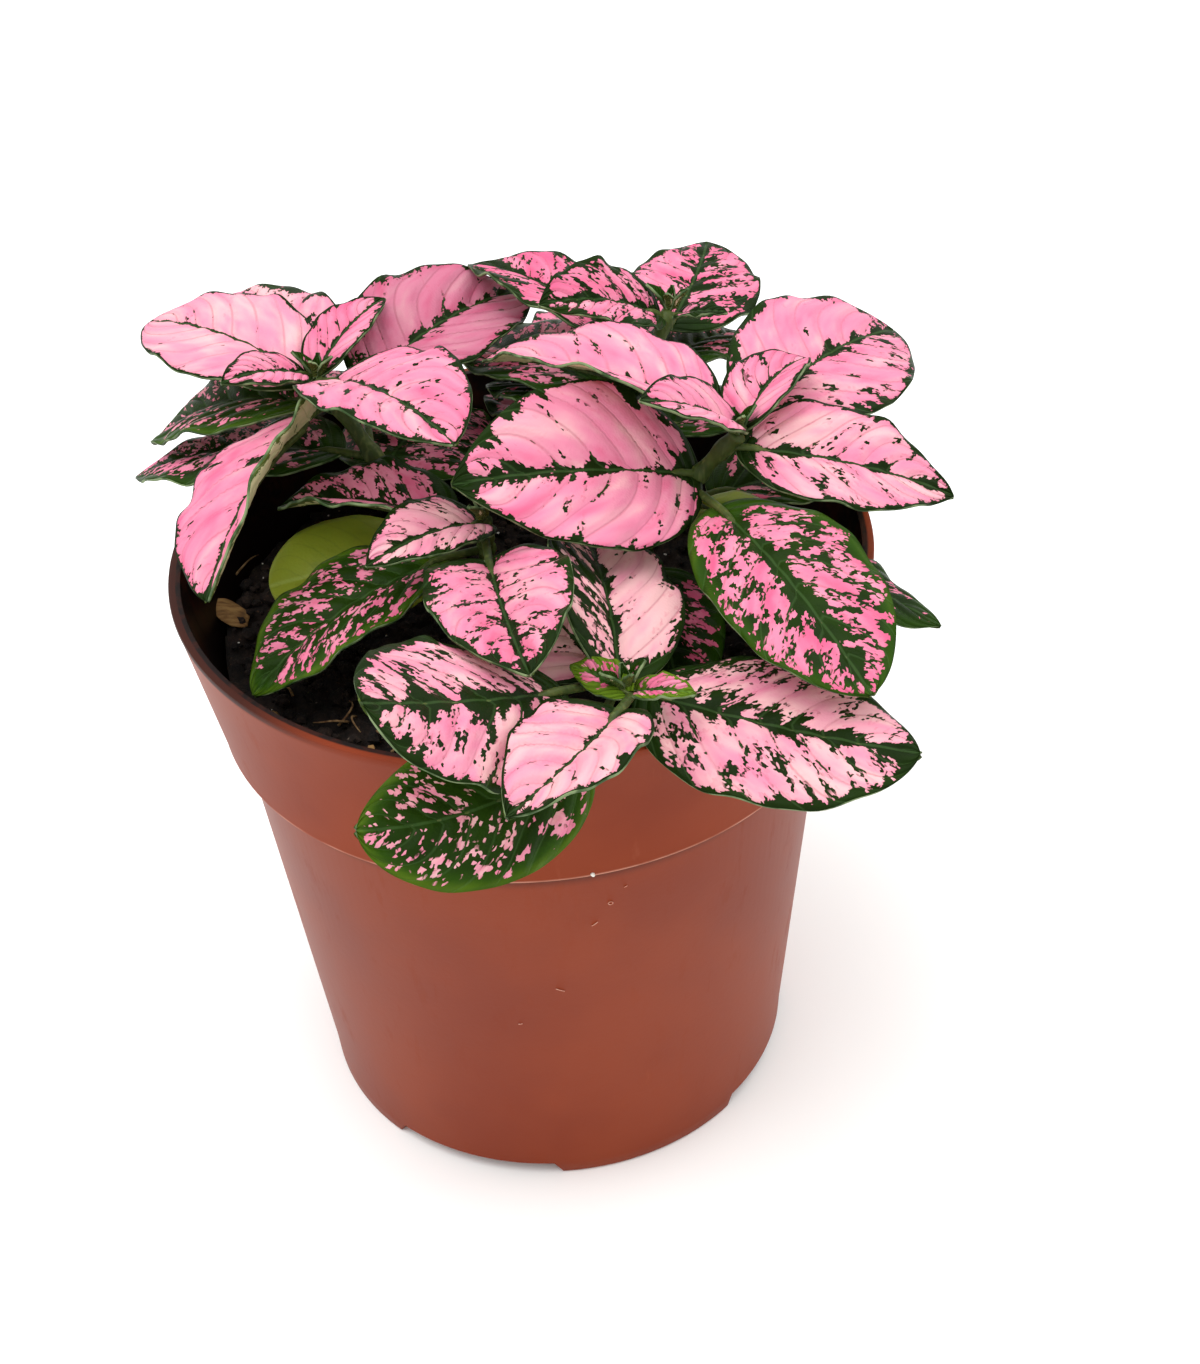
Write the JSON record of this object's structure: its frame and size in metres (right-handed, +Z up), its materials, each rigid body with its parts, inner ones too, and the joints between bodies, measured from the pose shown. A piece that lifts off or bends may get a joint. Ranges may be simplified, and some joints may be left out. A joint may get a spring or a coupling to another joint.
{
  "type": "potted polka dot plant",
  "caption": "Bushy foliage plant with pink leaves marked in dark green, growing from compost in a tapered round nursery pot with a banded rim.",
  "frame": {"origin": "centre of the pot's base, on the plane it stands on", "axes": "+Z up along the pot's axis, -Y towards the side the lowest front leaf hangs over the rim, +X to the right seen from there"},
  "size_m": [0.1201, 0.146, 0.127],
  "materials": {
    "pot_plastic": "satin",
    "compost": "matte",
    "stem": "satin",
    "spotted_leaf": "satin",
    "plain_leaf": "satin"
  },
  "bodies": {
    "root": {"nursery_pot": "pot_plastic", "compost": "compost", "left_stem": "stem", "middle_stem": "stem", "front_stem": "stem", "right_stem": "stem", "back_stem": "stem", "left_leaf_1": "spotted_leaf", "left_leaf_2": "spotted_leaf", "left_leaf_3": "spotted_leaf", "left_leaf_4": "spotted_leaf", "left_leaf_5": "spotted_leaf", "left_leaf_6": "spotted_leaf", "left_leaf_7": "spotted_leaf", "left_leaf_8": "spotted_leaf", "left_leaf_9": "spotted_leaf", "left_young_leaf_1": "spotted_leaf", "left_young_leaf_2": "spotted_leaf", "middle_leaf_1": "spotted_leaf", "middle_leaf_2": "spotted_leaf", "middle_leaf_3": "spotted_leaf", "middle_young_leaf": "spotted_leaf", "middle_seed_leaf": "plain_leaf", "front_leaf_1": "spotted_leaf", "front_leaf_2": "spotted_leaf", "front_leaf_3": "spotted_leaf", "front_leaf_4": "spotted_leaf", "front_leaf_5": "spotted_leaf", "front_leaf_6": "spotted_leaf", "front_young_leaf_1": "spotted_leaf", "front_young_leaf_2": "spotted_leaf", "right_leaf_1": "spotted_leaf", "right_leaf_2": "spotted_leaf", "right_leaf_3": "spotted_leaf", "right_leaf_4": "spotted_leaf", "right_leaf_5": "spotted_leaf", "right_leaf_6": "spotted_leaf", "right_leaf_7": "spotted_leaf", "right_leaf_8": "spotted_leaf", "right_young_leaf_1": "spotted_leaf", "right_young_leaf_2": "spotted_leaf", "right_seed_leaf": "plain_leaf", "back_leaf_1": "spotted_leaf", "back_leaf_2": "spotted_leaf", "back_leaf_3": "spotted_leaf", "back_leaf_4": "spotted_leaf", "back_leaf_5": "spotted_leaf", "back_leaf_6": "spotted_leaf", "back_leaf_7": "spotted_leaf", "back_leaf_8": "spotted_leaf", "back_leaf_9": "spotted_leaf", "back_young_leaf": "spotted_leaf"}
  },
  "joints": []
}
